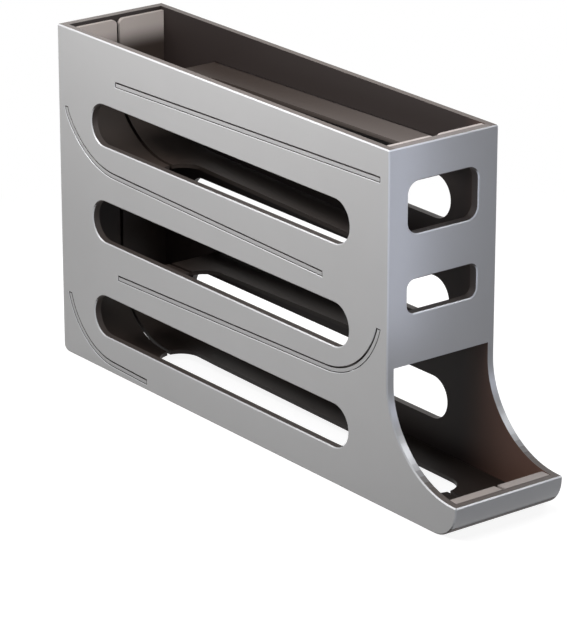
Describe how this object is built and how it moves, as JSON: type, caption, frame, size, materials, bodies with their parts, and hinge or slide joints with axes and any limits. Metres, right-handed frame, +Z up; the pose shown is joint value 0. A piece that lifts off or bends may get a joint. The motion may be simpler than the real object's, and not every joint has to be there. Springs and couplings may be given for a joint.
{
  "type": "egg dispenser",
  "caption": "Free-standing gravity rack that rolls eggs down sloping tiers between two slotted side walls to a scoop with a rounded lip.",
  "frame": {"origin": "on the shelf plane, under the middle of the overall length and width", "axes": "+X towards the scoop, +Y across the width, +Z up"},
  "size_m": [0.36, 0.074, 0.2],
  "materials": {
    "shell": "satin metallic grey over dark plastic",
    "track": "satin taupe grey"
  },
  "bodies": {
    "root": {"left_side_panel": "shell", "right_side_panel": "shell", "front_panel": "shell", "back_panel": "shell", "front_lip": "shell", "tier_1_left_track": "track", "tier_1_right_track": "track", "tier_2_left_track": "track", "tier_2_right_track": "track", "tier_3_left_track": "track", "tier_3_right_track": "track", "tier_4_left_track": "track", "tier_4_right_track": "track"}
  },
  "joints": []
}
